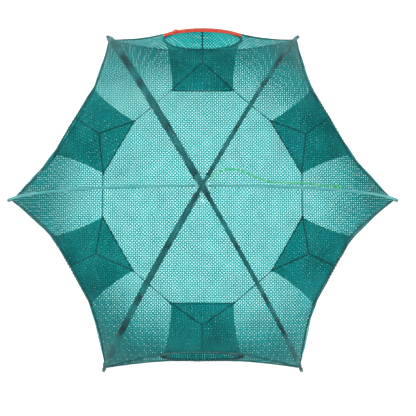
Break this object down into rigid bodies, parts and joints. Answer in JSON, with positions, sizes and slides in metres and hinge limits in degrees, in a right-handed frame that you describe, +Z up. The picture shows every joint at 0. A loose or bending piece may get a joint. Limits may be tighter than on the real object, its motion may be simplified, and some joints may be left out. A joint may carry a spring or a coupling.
{
  "type": "folding crab trap",
  "caption": "Hexagonal net trap held open by bowed spring ribs from a central hub, with a ringed net funnel in each side; folds like an umbrella.",
  "frame": {"origin": "on the ground under the hub, in the middle of the trap's footprint", "axes": "+Z up, +X towards the corner at rib 0, +Y towards the side with the zip"},
  "size_m": [0.9592, 0.8318, 0.27],
  "materials": {
    "roof_net": "open 4 mm polyethylene mesh",
    "dark_net": "dense mesh",
    "spring_steel": "zinc-plated wire",
    "green_plastic": "moulded",
    "zip": "woven tape",
    "zip_metal": "moulded slider",
    "cord": "braided"
  },
  "bodies": {
    "hub": {"hub_body": "green_plastic", "hub_cap": "green_plastic", "hinge_wire": "spring_steel"},
    "rib_arm_0": {"rib_0": "spring_steel", "rib_tip_0": "green_plastic", "rib_sleeve_0": "dark_net", "roof_net_0": "roof_net", "pull_cord": "cord"},
    "rib_arm_1": {"rib_1": "spring_steel", "rib_tip_1": "green_plastic", "rib_sleeve_1": "dark_net", "roof_net_1": "roof_net"},
    "rib_arm_2": {"rib_2": "spring_steel", "rib_tip_2": "green_plastic", "rib_sleeve_2": "dark_net", "roof_net_2": "roof_net"},
    "rib_arm_3": {"rib_3": "spring_steel", "rib_tip_3": "green_plastic", "rib_sleeve_3": "dark_net", "roof_net_3": "roof_net"},
    "rib_arm_4": {"rib_4": "spring_steel", "rib_tip_4": "green_plastic", "rib_sleeve_4": "dark_net", "roof_net_4": "roof_net"},
    "rib_arm_5": {"rib_5": "spring_steel", "rib_tip_5": "green_plastic", "rib_sleeve_5": "dark_net", "roof_net_5": "roof_net"},
    "floor_panel_0": {"floor_net_0": "roof_net"},
    "floor_panel_1": {"floor_net_1": "roof_net"},
    "floor_panel_2": {"floor_net_2": "roof_net"},
    "floor_panel_3": {"floor_net_3": "roof_net"},
    "floor_panel_4": {"floor_net_4": "roof_net"},
    "floor_panel_5": {"floor_net_5": "roof_net"},
    "entry_0": {"entry_ring_0": "spring_steel", "wall_net_0": "roof_net", "funnel_net_0": "dark_net", "tie_string_0": "dark_net"},
    "entry_1": {"entry_ring_1": "spring_steel", "wall_net_1": "roof_net", "funnel_net_1": "dark_net", "tie_string_1": "dark_net", "zip_tape": "zip"},
    "entry_2": {"entry_ring_2": "spring_steel", "wall_net_2": "roof_net", "funnel_net_2": "dark_net", "tie_string_2": "dark_net"},
    "entry_3": {"entry_ring_3": "spring_steel", "wall_net_3": "roof_net", "funnel_net_3": "dark_net", "tie_string_3": "dark_net"},
    "entry_4": {"entry_ring_4": "spring_steel", "wall_net_4": "roof_net", "funnel_net_4": "dark_net", "tie_string_4": "dark_net"},
    "entry_5": {"entry_ring_5": "spring_steel", "wall_net_5": "roof_net", "funnel_net_5": "dark_net", "tie_string_5": "dark_net"},
    "zip_pull": {"zip_slider": "zip_metal"}
  },
  "joints": [
    {"name": "rib_fold_0", "type": "hinge", "parent": "hub", "child": "rib_arm_0", "pos_m": [0.01, 0, 0.262], "axis": [0, 1, 0], "range_deg": [0, 50], "deforming": ["roof_net_0"]},
    {"name": "rib_fold_1", "type": "hinge", "parent": "hub", "child": "rib_arm_1", "pos_m": [0.005, 0.00866, 0.262], "axis": [-0.866, 0.5, 0], "range_deg": [0, 51], "deforming": ["roof_net_1"]},
    {"name": "rib_fold_2", "type": "hinge", "parent": "hub", "child": "rib_arm_2", "pos_m": [-0.005, 0.00866, 0.262], "axis": [-0.866, -0.5, 0], "range_deg": [0, 51], "deforming": ["roof_net_2"]},
    {"name": "rib_fold_3", "type": "hinge", "parent": "hub", "child": "rib_arm_3", "pos_m": [-0.01, 0, 0.262], "axis": [0, -1, 0], "range_deg": [0, 51], "deforming": ["roof_net_3"]},
    {"name": "rib_fold_4", "type": "hinge", "parent": "hub", "child": "rib_arm_4", "pos_m": [-0.005, -0.00866, 0.262], "axis": [0.866, -0.5, 0], "range_deg": [0, 51], "deforming": ["roof_net_4"]},
    {"name": "rib_fold_5", "type": "hinge", "parent": "hub", "child": "rib_arm_5", "pos_m": [0.005, -0.00866, 0.262], "axis": [0.866, 0.5, 0], "range_deg": [0, 51], "deforming": ["roof_net_5"]},
    {"name": "floor_fold_0", "type": "hinge", "parent": "rib_arm_0", "child": "floor_panel_0", "pos_m": [0.475, 0, 0.003], "axis": [0, 1, 0], "range_deg": [0, 27.6], "deforming": ["floor_net_0"]},
    {"name": "floor_fold_1", "type": "hinge", "parent": "rib_arm_1", "child": "floor_panel_1", "pos_m": [0.2375, 0.41136, 0.003], "axis": [-0.866, 0.5, 0], "range_deg": [0, 27.6], "deforming": ["floor_net_1"]},
    {"name": "floor_fold_2", "type": "hinge", "parent": "rib_arm_2", "child": "floor_panel_2", "pos_m": [-0.2375, 0.41136, 0.003], "axis": [-0.866, -0.5, 0], "range_deg": [0, 27.6], "deforming": ["floor_net_2"]},
    {"name": "floor_fold_3", "type": "hinge", "parent": "rib_arm_3", "child": "floor_panel_3", "pos_m": [-0.475, 0, 0.003], "axis": [0, -1, 0], "range_deg": [0, 27.6], "deforming": ["floor_net_3"]},
    {"name": "floor_fold_4", "type": "hinge", "parent": "rib_arm_4", "child": "floor_panel_4", "pos_m": [-0.2375, -0.41136, 0.003], "axis": [0.866, -0.5, 0], "range_deg": [0, 27.6], "deforming": ["floor_net_4"]},
    {"name": "floor_fold_5", "type": "hinge", "parent": "rib_arm_5", "child": "floor_panel_5", "pos_m": [0.2375, -0.41136, 0.003], "axis": [0.866, 0.5, 0], "range_deg": [0, 27.6], "deforming": ["floor_net_5"]},
    {"name": "entry_fold_0", "type": "slide", "parent": "hub", "child": "entry_0", "axis": [-0.5736, -0.3312, -0.7492], "range_m": [0, 0.2803], "deforming": ["wall_net_0", "funnel_net_0", "tie_string_0"]},
    {"name": "entry_fold_1", "type": "slide", "parent": "hub", "child": "entry_1", "axis": [0, -0.7071, -0.7071], "range_m": [0, 0.2967], "deforming": ["wall_net_1", "funnel_net_1", "tie_string_1", "zip_tape"]},
    {"name": "entry_fold_2", "type": "slide", "parent": "hub", "child": "entry_2", "axis": [0.5736, -0.3312, -0.7492], "range_m": [0, 0.2803], "deforming": ["wall_net_2", "funnel_net_2", "tie_string_2"]},
    {"name": "entry_fold_3", "type": "slide", "parent": "hub", "child": "entry_3", "axis": [0.5736, 0.3312, -0.7492], "range_m": [0, 0.2803], "deforming": ["wall_net_3", "funnel_net_3", "tie_string_3"]},
    {"name": "entry_fold_4", "type": "slide", "parent": "hub", "child": "entry_4", "axis": [0, 0.7071, -0.7071], "range_m": [0, 0.2967], "deforming": ["wall_net_4", "funnel_net_4", "tie_string_4"]},
    {"name": "entry_fold_5", "type": "slide", "parent": "hub", "child": "entry_5", "axis": [-0.5736, 0.3312, -0.7492], "range_m": [0, 0.2803], "deforming": ["wall_net_5", "funnel_net_5", "tie_string_5"]},
    {"name": "zip_slide", "type": "hinge", "parent": "entry_1", "child": "zip_pull", "pos_m": [0, 0.374, 0.102], "axis": [0, 0.9994, 0.0349], "range_deg": [0, 76]}
  ],
  "couplings": [
    {"joint": "floor_fold_0", "follows": "rib_fold_0", "ratio": 0.531},
    {"joint": "entry_fold_0", "follows": "rib_fold_0", "m_per_rad": 0.31661},
    {"joint": "rib_fold_1", "follows": "rib_fold_0", "ratio": 1},
    {"joint": "floor_fold_1", "follows": "rib_fold_0", "ratio": 0.531},
    {"joint": "entry_fold_1", "follows": "rib_fold_0", "m_per_rad": 0.33546},
    {"joint": "rib_fold_2", "follows": "rib_fold_0", "ratio": 1},
    {"joint": "floor_fold_2", "follows": "rib_fold_0", "ratio": 0.531},
    {"joint": "entry_fold_2", "follows": "rib_fold_0", "m_per_rad": 0.31661},
    {"joint": "rib_fold_3", "follows": "rib_fold_0", "ratio": 1},
    {"joint": "floor_fold_3", "follows": "rib_fold_0", "ratio": 0.531},
    {"joint": "entry_fold_3", "follows": "rib_fold_0", "m_per_rad": 0.31661},
    {"joint": "rib_fold_4", "follows": "rib_fold_0", "ratio": 1},
    {"joint": "floor_fold_4", "follows": "rib_fold_0", "ratio": 0.531},
    {"joint": "entry_fold_4", "follows": "rib_fold_0", "m_per_rad": 0.33546},
    {"joint": "rib_fold_5", "follows": "rib_fold_0", "ratio": 1},
    {"joint": "floor_fold_5", "follows": "rib_fold_0", "ratio": 0.531},
    {"joint": "entry_fold_5", "follows": "rib_fold_0", "m_per_rad": 0.31661}
  ]
}
